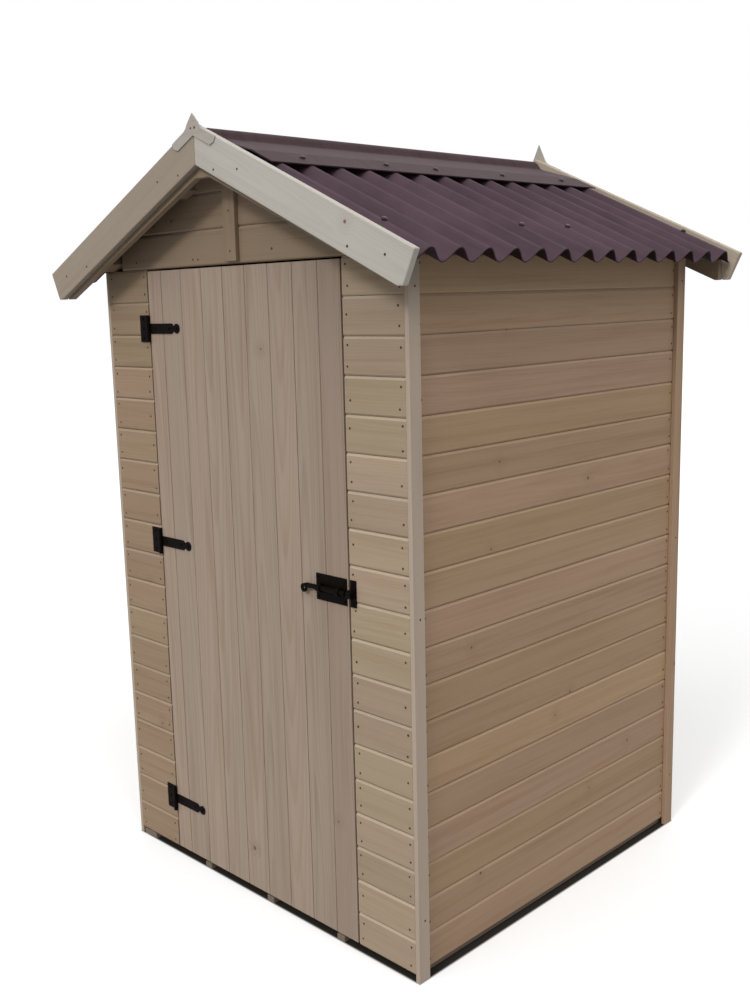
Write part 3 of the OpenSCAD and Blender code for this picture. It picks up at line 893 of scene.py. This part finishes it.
@dataclass
class Panel:
    """One boarded face: a wall, a gable, the door leaf or the floor.

    The four edges are the width and depth of the boards' top chamfer, and
    those of the eased edge at their foot.
    """

    node: str
    finish: WoodFinish
    inward: Vector
    seed: int
    cover: float
    body: Body = Body.SHED
    slot: str = "wall_boards"
    along: Vector = field(default_factory=RIGHT.copy)
    across: Vector = field(default_factory=UP.copy)
    lead: float = 0.0
    shaped: bool = False
    # Strength of the painted highlight on each board's up-facing chamfer
    painted_lip_highlight: float = 0.14
    # Strength of the painted shade and dust inside the joints
    joint_shade_and_dust: float = 0.7
    joint: float = 1.4 * MM
    edges: tuple[float, float, float, float] = (6 * MM, 3.2 * MM, 3.5 * MM, 2 * MM)
    skew: float = 0.35 * MM

    def build(self) -> None:
        """Lays the boards and cuts them to the slab that they stand for."""
        low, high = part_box(self.node)
        outward = self.along + self.across + self.inward
        corner = Vector(low[i] if outward[i] > 0 else high[i] for i in range(3))
        size = high - low
        length, width, thickness = (
            abs(size.dot(side)) for side in (self.along, self.across, self.inward))
        width += self.lead
        corner -= self.across * self.lead
        material = self.finish.material()
        piece = show(f"{self.node}_boards", self.one_board(corner, length, thickness), material)
        course_tree().run(piece, {
            "Boards": math.ceil(width / self.cover - 0.01), "Step": self.across * self.cover,
            "Play": self.inward * self.skew, "Seed": self.seed, "Finish": material})
        if self.shaped:
            self.cut_to_solid(piece)
        else:
            self.cut_to_box(piece, low, high)
        mark_grain(piece.data, self.seed, self.along)
        self.mark_edges(piece.data, low, high)
        settle(piece, self.body, (self.node,))

    def mark_edges(self, mesh: bpy.types.Mesh, low: Vector, high: Vector) -> None:
        """Paints a highlight on the up-facing chamfers, and shade and dust inside the joints.

        Args:
            mesh: The laid boards.
            low: Lowest corner of the panel's box.
            high: Highest corner of the panel's box.
        """
        face, back = sorted((low.dot(self.inward), high.dot(self.inward)))
        start, end = low.dot(self.across), high.dot(self.across)
        margin = 0.5 * MM
        values = []
        for polygon in mesh.polygons:
            turn, place = polygon.normal.dot(self.across), polygon.center.dot(self.across)
            depth = polygon.center.dot(self.inward) - face
            inner = min(place - start, end - place) > margin and depth < back - face - margin
            # Up-facing chamfers get the painted highlight
            if 0.2 < turn < 0.95 and depth < self.edges[1]:
                values.append(self.painted_lip_highlight)
            # Faces inside the joints get painted shade and dust
            elif abs(turn) > 0.9 and depth > self.edges[1] and inner:
                values.append(-self.joint_shade_and_dust)
            else:
                values.append(0.0)
        mesh.attributes.new("edge", "FLOAT", "FACE").data.foreach_set("value", values)

    def one_board(self, corner: Vector, length: float, thickness: float) -> bpy.types.Mesh:
        """Makes the first board of the course.

        Args:
            corner: Foot of the board's face at its start.
            length: Length of the board.
            thickness: Thickness of the board.

        Returns:
            The board's closed mesh.
        """
        work = bmesh.new()
        outline = Board(self.cover, thickness, self.joint, *self.edges).section()
        ends = [[
            work.verts.new(corner + self.along * along + self.across * a + self.inward * d)
            for a, d in outline] for along in (0.0, length)]
        work.faces.new(ends[0])
        work.faces.new(ends[1][::-1])
        for i in range(len(outline)):
            j = (i + 1) % len(outline)
            work.faces.new((ends[0][i], ends[1][i], ends[1][j], ends[0][j]))
        return finished_mesh(work, "board")

    def cut_to_box(self, piece: bpy.types.Object, low: Vector, high: Vector) -> None:
        """Saws off what sticks out of a box across the boards.

        Args:
            piece: The laid boards.
            low: Lowest corner of the box.
            high: Highest corner of the box.
        """
        work = bmesh.new()
        work.from_mesh(piece.data)
        for corner, outward in ((low, -self.across), (high, self.across)):
            if max(v.co.dot(outward) for v in work.verts) < corner.dot(outward) + 0.01 * MM:
                continue
            cut = bmesh.ops.bisect_plane(
                work, geom=work.verts[:] + work.edges[:] + work.faces[:], dist=0.001 * MM,
                plane_co=corner, plane_no=outward, clear_outer=True)["geom_cut"]
            bmesh.ops.holes_fill(work, edges=[e for e in cut if isinstance(e, bmesh.types.BMEdge)])
        work.to_mesh(piece.data)
        work.free()

    def cut_to_solid(self, piece: bpy.types.Object) -> None:
        """Saws the boards to the outline and notches of their node.

        Args:
            piece: The laid boards.
        """
        solid = merged_copy(self.node)
        middle = sum(corner.dot(self.inward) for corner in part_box(self.node)) / 2
        for vertex in solid.verts:
            vertex.co += self.inward * math.copysign(5 * MM, vertex.co.dot(self.inward) - middle)
        mesh = bpy.data.meshes.new("saw")
        solid.to_mesh(mesh)
        solid.free()
        saw = stand("saw", mesh)
        cut = piece.modifiers.new("saw", "BOOLEAN")
        cut.operation, cut.solver, cut.object = "INTERSECT", "EXACT", saw
        cut.use_self = True
        result = solved(piece)
        piece.modifiers.remove(cut)
        dress(result, piece.data.materials[0])
        piece.data = result
        bpy.data.objects.remove(saw)


@dataclass
class BoardedShell:
    """All the boarded faces of the shed: walls, gables, door leaf and floor."""

    rows: int = 19
    door_cover: float = 87 * MM
    door_seam_x: float = -314 * MM

    def build(self) -> None:
        """Lays every panel."""
        for panel in self.panels():
            panel.build()

    def panels(self) -> list[Panel]:
        """Lists the panels.

        Returns:
            One panel for each boarded node.
        """
        low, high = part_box("left_wall")
        cover = (high.z - low.z) / self.rows
        side = {"slot": "side_boards", "along": BACK, "painted_lip_highlight": 0.05}
        return [
            # The left front wall takes the darker copy of the front wood: painted shade
            Panel("front_wall_left", FRONT_WOOD_PAINTED_SHADE, BACK, 57365, cover, painted_lip_highlight=0.08),
            Panel("front_wall_right", FRONT_WOOD, BACK, 5, cover),
            # The front gable takes the darker wood: painted shade
            Panel("front_gable", GABLE_WOOD_PAINTED_SHADE, BACK, 7, cover, shaped=True, painted_lip_highlight=0.05),
            Panel("rear_wall", FRONT_WOOD, -BACK, 9, cover),
            Panel("rear_gable", FRONT_WOOD, -BACK, 11, cover, shaped=True),
            Panel("left_wall", SIDE_WOOD, RIGHT, 13, cover, **side),
            Panel("right_wall", SIDE_WOOD, -RIGHT, 29860, cover, **side),
            Panel("floor_deck", FRAME_WOOD[Along.PIECE], -UP, 17, cover, slot="frame_timber",
                  across=BACK),
            Panel("door_leaf", DOOR_WOOD, BACK, 43938, self.door_cover, Body.DOOR, "door_boards",
                  UP, RIGHT, lead=self.door_cover - self.door_seam_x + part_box("door_leaf")[0].x,
                  painted_lip_highlight=0.0, joint=1.5 * MM, edges=(1.2 * MM, 1.2 * MM, 1.0 * MM, 0.8 * MM)),
        ]


# ---- Timber ----


@dataclass
class EasedTimber:
    """Planed timber that shows: its nodes are copied with rounded edges."""

    ease: float = 1.4 * MM
    barge_ease: float = 2.6 * MM
    planed: float = 0.2
    finial_seed: int = 60
    first_seed: int = 41

    def kinds(self) -> list[tuple[list[str], str, WoodFinish]]:
        """Lists the kinds of timber.

        Returns:
            The nodes, the slot and the finish of each kind.
        """
        front_strips, rear_strips = (
            [f"corner_strip_{end}_{side}" for side in ("left", "right")] for end in ("front", "rear"))
        return [
            (front_strips, "corner_strips", STRIP_WOOD),
            (rear_strips, "corner_strips", SIDE_WOOD),
            (["bargeboard_front_right"], "bargeboards", BARGE_WOOD),
            (["bargeboard_rear_left", "bargeboard_rear_right"], "bargeboards", REAR_BARGE_WOOD),
            (["bargeboard_front_left"], "bargeboards", TAN_BARGE_WOOD),
            # The gable strip shares the gable's painted shade
            (["gable_strip"], "wall_boards", GABLE_WOOD_PAINTED_SHADE),
            (["front_rafters", "rear_rafters", "eave_purlins", "upper_purlins"], "frame_timber",
             OUTER_WOOD),
            (["floor_joists"], "frame_timber", JOIST_WOOD),
            (["door_ledges", "door_braces"], "door_boards", DOOR_WOOD),
        ]

    def build(self) -> None:
        """Copies each node that shows and dresses it."""
        self.build_finials()
        seed = self.first_seed
        for nodes, slot, finish in self.kinds():
            ease = self.barge_ease if slot == "bargeboards" else self.ease
            body = Body.DOOR if slot == "door_boards" else Body.SHED
            for node in nodes:
                piece = show(f"{node}_timber", eased_copy(node, ease, seed), finish.material())
                settle(piece, body, (node,))
                seed += 1

    def build_finials(self) -> None:
        """Planes the finials thin and dresses them."""
        for node, seat in (("finial_front", 1), ("finial_rear", 0)):
            mesh = eased_copy(node, self.ease, self.finial_seed)
            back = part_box(node)[seat].y
            for vertex in mesh.vertices:
                vertex.co.y = back + (vertex.co.y - back) * self.planed
            piece = show(f"{node}_timber", mesh, FINIAL_WOOD.material())
            settle(piece, Body.SHED, (node,))


@dataclass
class FrameTimber:
    """Sawn timber inside the shed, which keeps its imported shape."""

    def build(self) -> None:
        """Dresses the inner frame by the direction of its pieces."""
        runs = {
            Along.X: ["front_rails", "rear_rails", "gable_rails"],
            Along.Y: ["left_rails", "right_rails"],
            Along.Z: ["front_posts", "door_jambs", "rear_posts", "left_studs", "right_studs"],
        }
        for along, nodes in runs.items():
            for node in nodes:
                dress_node(node, FRAME_WOOD[along])


def dress_node(node: str, finish: Finish) -> None:
    """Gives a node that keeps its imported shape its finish."""
    dress(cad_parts[node].data, finish.material())
    LOG.info("%s: %s", node, finish.name)


# ---- Fixings ----


@dataclass
class Head:
    """Turned head of a nail or a screw.

    The profile gives the radius and height of each ring, from the rim to the
    middle, as shares of the head's own.
    """

    name: str
    radius: float
    height: float
    sides: int = 12
    cross: float = 0.0
    profile: tuple = ((1.0, 0.0), (1.0, 0.4), (0.86, 0.8), (0.5, 0.97), (0.2, 1.0))
    crossed_ring: int = 3

    def build(self) -> bpy.types.Object:
        """Turns the head.

        Returns:
            An object that holds the head, standing on the origin.
        """
        work = bmesh.new()
        rings = []
        for k, (r, h) in enumerate(self.profile):
            ring = []
            for i in range(self.sides):
                turn = math.tau * i / self.sides
                in_cross = k >= self.crossed_ring and i % (self.sides // 4) == 0
                ring.append(work.verts.new((
                    self.radius * r * math.cos(turn), self.radius * r * math.sin(turn),
                    self.height * (h - (self.cross if in_cross else 0.0)))))
            rings.append(ring)
        tip = work.verts.new((0, 0, self.height * (1 - self.cross)))
        for i in range(self.sides):
            j = (i + 1) % self.sides
            for lower, upper in zip(rings, rings[1:]):
                work.faces.new((lower[i], lower[j], upper[j], upper[i]))
            work.faces.new((rings[-1][i], rings[-1][j], tip))
        work.faces.new(rings[0][::-1])
        return stand(self.name, finished_mesh(work, self.name))


@dataclass
class Fixings:
    """Heads of one kind on one body, each at a point and facing outward."""

    name: str
    body: Body
    slot: str
    finish: MetalFinish
    head: Head
    spread: float = 0.15
    seed: int = 1
    points: list[Vector] = field(default_factory=list)
    facing: list[Vector] = field(default_factory=list)

    def drive(self, point: Vector, facing: Vector) -> None:
        """Adds one head."""
        self.points.append(point)
        self.facing.append(facing.normalized())

    def build(self) -> None:
        """Sets all the heads."""
        mesh = bpy.data.meshes.new(self.name)
        mesh.from_pydata(self.points, [], [])
        layer = mesh.attributes.new("facing", "FLOAT_VECTOR", "POINT")
        layer.data.foreach_set("vector", [c for v in self.facing for c in v])
        material = self.finish.material()
        piece = show(self.name, mesh, material)
        head = self.head.build()
        fixing_tree().run(
            piece, {"Head": head, "Spread": self.spread, "Seed": self.seed, "Finish": material})
        bpy.data.objects.remove(head)
        settle(piece, self.body)


@dataclass
class WallNails:
    """Nails of the wall boards into the posts and studs behind them."""

    edge: float = 14 * MM
    beside: float = 10 * MM
    foot: float = 20 * MM
    wobble: float = 4 * MM
    pairs: float = 0.55
    seed: int = 71

    def build(self) -> None:
        """Drives the nails of the five walls."""
        draw = random.Random(self.seed)
        nails = Fixings(
            "wall_nails", Body.SHED, "ironwork", NAIL_STEEL, Head("nail_head", 3.1 * MM, 0.5 * MM, 10))
        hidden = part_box("corner_strip_front_right")[1].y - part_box("right_wall")[0].y
        for node, across, out, edge in (
                ("front_wall_left", 0, -1, self.edge), ("front_wall_right", 0, -1, self.edge),
                ("rear_wall", 0, 1, self.edge), ("left_wall", 1, -1, hidden + self.beside),
                ("right_wall", 1, 1, hidden + self.beside)):
            start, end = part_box(node)
            cover = (end.z - start.z) / BoardedShell.rows
            depth = 1 - across
            facing = Vector((0, 0, 0))
            facing[depth] = out
            for run in (start[across] + edge, end[across] - edge):
                for row in range(BoardedShell.rows):
                    for height in self.heights(draw, cover):
                        point = Vector((0, 0, start.z + row * cover + height))
                        point[across] = run + draw.uniform(-1, 1) * self.wobble
                        point[depth] = start[depth] if out < 0 else end[depth]
                        nails.drive(point, facing)
        nails.build()

    def heights(self, draw: random.Random, cover: float) -> list[float]:
        """Picks how high on a board its nails stand.

        Args:
            draw: Source of random numbers.
            cover: Height of wall that the board covers.

        Returns:
            One or two heights above the board's foot.
        """
        if draw.random() < self.pairs:
            pair = (self.foot, cover - self.foot)
            return [height + draw.uniform(-1, 1) * self.wobble for height in pair]
        return [draw.uniform(self.foot, cover - self.foot)]


@dataclass
class TrimNails:
    """Nails of the gables, strips, bargeboards and finials, placed in millimetres.

    A gable's nails have their x and their height above its foot, a
    bargeboard's their distance from the ridge and their drop below its top.
    """

    gable: tuple = ((-166, 17), (-145, 16), (143, 29), (-420, 20), (415, 22), (-250, 118), (262, 112))
    strip: tuple = (24, 120)
    strip_x: float = 1
    barge: tuple = ((69, 80), (155, 47), (503, 74), (610, 46))
    corner: tuple = (155, 887, 1619)
    corner_back: float = 3
    finial: tuple = (-7, 8)
    finial_drop: float = 11

    def build(self) -> None:
        """Drives the nails at both ends of the shed."""
        nails = Fixings(
            "trim_nails", Body.SHED, "ironwork", NAIL_STEEL, Head("trim_head", 3.2 * MM, 0.5 * MM, 10),
            seed=8)
        self.nail_end(nails, "front", -1)
        self.nail_end(nails, "rear", 1)
        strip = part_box("gable_strip")
        for z in self.strip:
            nails.drive(Vector((self.strip_x * MM, strip[0].y, strip[0].z + z * MM)), -BACK)
        nails.build()

    def nail_end(self, nails: Fixings, end: str, out: int) -> None:
        """Adds the nails of one end.

        Args:
            nails: The nails so far.
            end: Name of the end.
            out: Its outward direction along Y.
        """
        facing, pick = BACK * out, (out + 1) // 2
        gable, board, finial = (
            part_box(node) for node in (f"{end}_gable", f"bargeboard_{end}_right", f"finial_{end}"))
        for x, z in self.gable:
            nails.drive(Vector((x * MM, gable[pick].y, gable[0].z + z * MM)), facing)
        for x, drop in self.barge:
            z = board[1].z - x * MM * math.tan(ROOF_PITCH) - drop * MM
            for side in (-1, 1):
                nails.drive(Vector((side * x * MM, board[pick].y, z)), facing)
        flush = finial[1 - pick].y + out * (finial[1].y - finial[0].y) * EasedTimber.planed
        for x in self.finial:
            nails.drive(Vector((x * MM, flush, board[1].z - self.finial_drop * MM)), facing)
        for side, turn in (("left", -1), ("right", 1)):
            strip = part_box(f"corner_strip_{end}_{side}")
            y = (strip[0].y + strip[1].y) / 2 + self.corner_back * MM
            for z in self.corner:
                nails.drive(Vector((strip[(turn + 1) // 2].x, y, z * MM)), RIGHT * turn)


@dataclass
class Ironwork:
    """Hinges and pad bolt: their finish and their screws."""

    screw: float = 3.6 * MM
    metal: float = 2.5 * MM
    hinge_heights: tuple = (0.172, 0.944, 1.533)
    strap_tip: float = 12.5 * MM
    strap_middle: float = 45 * MM
    strap_root: float = 32 * MM
    plate_inset: float = 14 * MM
    plate_pitch: float = 26 * MM
    bolt_inset: float = 7 * MM
    bolt_rise: float = 8 * MM

    def build(self) -> None:
        """Dresses the ironwork and drives its screws."""
        for node in ("hinge_straps", "hinge_plates", "bolt_plate", "sliding_bolt", "bolt_keeper"):
            dress_node(node, BLACK_IRON)
        head = Head("screw_head", self.screw, 1.8 * MM, 16, cross=0.45)
        on_door = Fixings("door_screws", Body.DOOR, "ironwork", BLACK_IRON, head, 0.0, 5)
        on_wall = Fixings("plate_screws", Body.SHED, "ironwork", BLACK_IRON, head, 0.0, 6)
        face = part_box("door_leaf")[0].y - self.metal
        straps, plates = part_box("hinge_straps"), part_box("hinge_plates")
        for z in self.hinge_heights:
            for x in (straps[1].x - self.strap_tip, straps[1].x - self.strap_middle,
                      straps[0].x + self.strap_root):
                on_door.drive(Vector((x, face, z)), -BACK)
            for rise in (-self.plate_pitch, 0, self.plate_pitch):
                on_wall.drive(Vector((plates[0].x + self.plate_inset, face, z + rise)), -BACK)
        low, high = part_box("bolt_plate")
        for x in (low.x + self.bolt_inset, high.x - self.bolt_inset):
            for z in (low.z + self.bolt_rise, high.z - self.bolt_rise):
                on_door.drive(Vector((x, face, z)), -BACK)
        low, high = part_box("bolt_keeper")
        for z in (low.z + self.bolt_rise, high.z - self.bolt_rise):
            on_wall.drive(Vector(((low.x + high.x) / 2, face, z)), -BACK)
        on_door.build()
        on_wall.build()


@dataclass
class Roofing:
    """Corrugated sheets and ridge cap, with their capped screws."""

    sheet_x: float = 0.545
    cap_x: float = 0.198
    cap_rise: float = 3.5 * MM
    sheet_crests: tuple = (0, 5, 7, 13)
    cap_crests: tuple = (1, 4, 6, 9, 12)
    crests: int = 14

    def build(self) -> None:
        """Dresses the roofing and drives its screws into crests of the sheets."""
        for node, finish in (
                ("roof_sheet_left", ROOFING), ("roof_sheet_right", ROOFING),
                ("ridge_cap", RIDGE_ROOFING)):
            dress_node(node, finish)
        screws = Fixings(
            "roof_screws", Body.SHED, "roofing", ROOF_CAP, Head("screw_cap", 7 * MM, 6 * MM, 14),
            0.0, 9)
        for side in (-1, 1):
            facing = Vector((side * math.sin(ROOF_PITCH), 0, math.cos(ROOF_PITCH)))
            for x, crests, rise in (
                    (self.sheet_x, self.sheet_crests, 0.0), (self.cap_x, self.cap_crests, self.cap_rise)):
                z = crest_height() - x * math.tan(ROOF_PITCH) + rise / math.cos(ROOF_PITCH)
                for crest in crests:
                    y = (crest - (self.crests - 1) / 2) * WAVE
                    screws.drive(Vector((side * x, y, z)), facing)
        screws.build()


# ---- Studio ----


@dataclass
class Studio:
    """Camera, lamps, world and floor.

    The lamps are a soft one over the front, a low key before it, a fill at
    the right and a back light: direction, strength and width in degrees.
    """

    place: tuple[float, float, float] = (2.1918, -2.3488, 1.5939)
    heading: float = 46.431
    tilt: float = -10.247
    roll: float = -1.721
    lens: float = 40.28
    sensor: float = 36.0
    shift: tuple[float, float] = (0.042, 0.0028)
    furthest: float = 100.0
    lamps: tuple = (
        ("soft", (0.05, -1.0, 1.15), 1.0, 50), ("key", (0.20, -1.0, 0.67), 1.15, 12),
        ("fill", (1.0, -0.25, 1.15), 1.25, 45), ("back", (-0.8, 1.0, 0.9), 0.8, 60))
    world: float = 0.34
    reach: float = 40.0
    pale: float = 0.75
    glow: float = 0.26
    matt: float = 0.3
    # Colour of the painted shadow on the floor under the shed, and the soft rim round it
    painted_shadow_under_shed: Colour = (0.03, 0.026, 0.022, 1.0)
    painted_shadow_rim: tuple[float, float] = (-4 * MM, 5 * MM)

    def build(self) -> None:
        """Sets up the whole studio."""
        self.set_camera()
        for lamp in self.lamps:
            self.set_lamp(*lamp)
        self.set_world()
        self.set_floor()
        bpy.context.scene.view_settings.view_transform = "Standard"

    def set_camera(self) -> None:
        """Puts the camera in front of the shed's right-hand corner."""
        data = bpy.data.cameras.new("camera")
        data.lens = self.lens
        data.sensor_width = self.sensor
        data.shift_x, data.shift_y = self.shift
        data.clip_end = self.furthest
        heading, tilt = math.radians(self.heading), math.radians(self.tilt)
        ahead = Vector((
            -math.sin(heading) * math.cos(tilt), math.cos(heading) * math.cos(tilt), math.sin(tilt)))
        level = ahead.to_track_quat("-Z", "Y").to_matrix().to_4x4()
        turn = Matrix.Rotation(math.radians(self.roll), 4, "Z")
        camera = stand("camera", data)
        camera.matrix_world = Matrix.Translation(self.place) @ level @ turn
        bpy.context.scene.camera = camera

    def set_lamp(
            self, name: str, towards: tuple[float, float, float], strength: float, angle: float) -> None:
        """Adds one soft sun lamp.

        Args:
            name: Name of the lamp.
            towards: Direction from the shed to the lamp.
            strength: Strength of the lamp.
            angle: Width of the lamp in degrees.
        """
        data = bpy.data.lights.new(name, "SUN")
        data.energy = strength
        data.angle = math.radians(angle)
        lamp = stand(name, data)
        lamp.rotation_mode = "QUATERNION"
        lamp.rotation_quaternion = Vector(towards).to_track_quat("Z", "Y")

    def plain_view(self, graph: ShaderGraph) -> Socket:
        """Picks the rays that come from the camera, also by way of glass or gloss.

        Args:
            graph: Graph of the floor or the world.

        Returns:
            1 for such a ray and 0 for any other.
        """
        ray = graph.add("ShaderNodeLightPath").outputs
        direct = graph.math("MAXIMUM", ray["Is Camera Ray"], ray["Is Glossy Ray"])
        return graph.math("MAXIMUM", direct, ray["Is Transmission Ray"])

    def set_world(self) -> None:
        """Makes an even pale sky that shows as white."""
        world = bpy.data.worlds.new("sky")
        graph = empty_graph(world)
        level = graph.line(self.plain_view(graph), 1 - self.world, self.world)
        sky = graph.add("ShaderNodeBackground", {"Color": (1, 1, 1, 1), "Strength": level})
        graph.add("ShaderNodeOutputWorld", {"Surface": sky.outputs[0]})
        bpy.context.scene.world = world

    def outside_painted_shadow(self, graph: ShaderGraph) -> Socket:
        """Parts the pale floor from the painted shadow under the shed.

        Args:
            graph: Graph of the floor.

        Returns:
            1 beside the shed and 0 under it.
        """
        part = graph.parts(graph.vector("ABSOLUTE", graph.spot()))
        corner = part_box("corner_strip_rear_right")[1]
        beyond = graph.math("MAXIMUM", graph.minus(part[0], corner.x), graph.minus(part[1], corner.y))
        return graph.step(beyond, *self.painted_shadow_rim)

    def set_floor(self) -> None:
        """Lays a wide pale floor that keeps the shed's shadow, with a dark painted shadow under the shed.
        """
        mesh = bpy.data.meshes.new("studio_floor")
        corners = [(x * self.reach, y * self.reach, 0) for x, y in ((-1, -1), (1, -1), (1, 1), (-1, 1))]
        mesh.from_pydata(corners, [], [(0, 1, 2, 3)])
        material = bpy.data.materials.new("studio_floor")
        graph = empty_graph(material)
        outside_painted_shadow = self.outside_painted_shadow(graph)
        # Under the shed the floor takes the painted shadow colour and no glow
        colour = graph.blend(outside_painted_shadow, self.painted_shadow_under_shed, (self.pale, self.pale, self.pale, 1))
        matt = graph.add("ShaderNodeBsdfDiffuse", {"Color": (self.matt, self.matt, self.matt, 1)})
        white = graph.add("ShaderNodeBsdfDiffuse", {"Color": colour})
        glow = graph.add("ShaderNodeEmission", {
            "Color": (1, 1, 1, 1), "Strength": graph.times(outside_painted_shadow, self.glow)})
        pale = graph.add("ShaderNodeAddShader", {0: white.outputs[0], 1: glow.outputs[0]})
        mixed = graph.add("ShaderNodeMixShader", {
            0: self.plain_view(graph), 1: matt.outputs[0], 2: pale.outputs[0]})
        graph.add("ShaderNodeOutputMaterial", {"Surface": mixed.outputs[0]})
        show("studio_floor", mesh, material)


def main() -> None:
    """Builds the shed's pieces in order, then the studio."""
    logging.basicConfig(level=logging.INFO, format="%(name)s: %(message)s")
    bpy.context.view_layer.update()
    for part in (BoardedShell, EasedTimber, FrameTimber, Roofing, WallNails, TrimNails, Ironwork, Studio):
        part().build()


if __name__ == "__main__":
    main()
